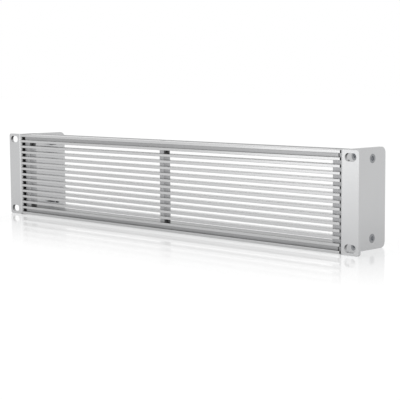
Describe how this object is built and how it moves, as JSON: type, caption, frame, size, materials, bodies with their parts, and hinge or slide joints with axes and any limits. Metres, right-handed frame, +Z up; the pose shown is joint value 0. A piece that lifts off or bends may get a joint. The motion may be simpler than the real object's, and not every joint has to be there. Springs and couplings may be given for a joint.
{
  "type": "vented blanking panel",
  "caption": "Rack panel that fills an empty bay and lets air through: flat slats on upright posts between two bent side brackets with slotted ears.",
  "frame": {"origin": "middle of the footprint, on the surface that the panel stands on", "axes": "+X along the panel to the right seen from the front, +Y from the front to the back, +Z up"},
  "size_m": [0.4826, 0.0604, 0.0881],
  "materials": {
    "bracket_finish": "satin anodised, light silver",
    "slat_finish": "satin anodised, brushed along the slat",
    "frame_finish": "plain mill finish, darker than the slats",
    "strip_finish": "satin anodised, darker than the slats",
    "seal_rubber": "matt black rubber profile",
    "zinc_fasteners": "zinc plated steel",
    "black_fasteners": "black oxide steel"
  },
  "bodies": {
    "root": {"left_bracket": "bracket_finish", "right_bracket": "bracket_finish", "slat_01": "slat_finish", "slat_02": "slat_finish", "slat_03": "slat_finish", "slat_04": "slat_finish", "slat_05": "slat_finish", "slat_06": "slat_finish", "slat_07": "slat_finish", "slat_08": "slat_finish", "slat_09": "slat_finish", "slat_10": "slat_finish", "slat_11": "slat_finish", "slat_12": "slat_finish", "slat_13": "slat_finish", "slat_14": "slat_finish", "slat_15": "slat_finish", "top_rail": "frame_finish", "bottom_rail": "frame_finish", "left_post": "frame_finish", "centre_post": "frame_finish", "right_post": "frame_finish", "top_strip": "strip_finish", "bottom_strip": "strip_finish", "left_seal": "seal_rubber", "right_seal": "seal_rubber", "side_screws": "zinc_fasteners", "side_washers": "zinc_fasteners", "side_nuts": "zinc_fasteners", "rail_screws": "zinc_fasteners", "post_rail_screws": "zinc_fasteners", "end_post_screws": "black_fasteners", "centre_post_screws": "black_fasteners"}
  },
  "joints": []
}
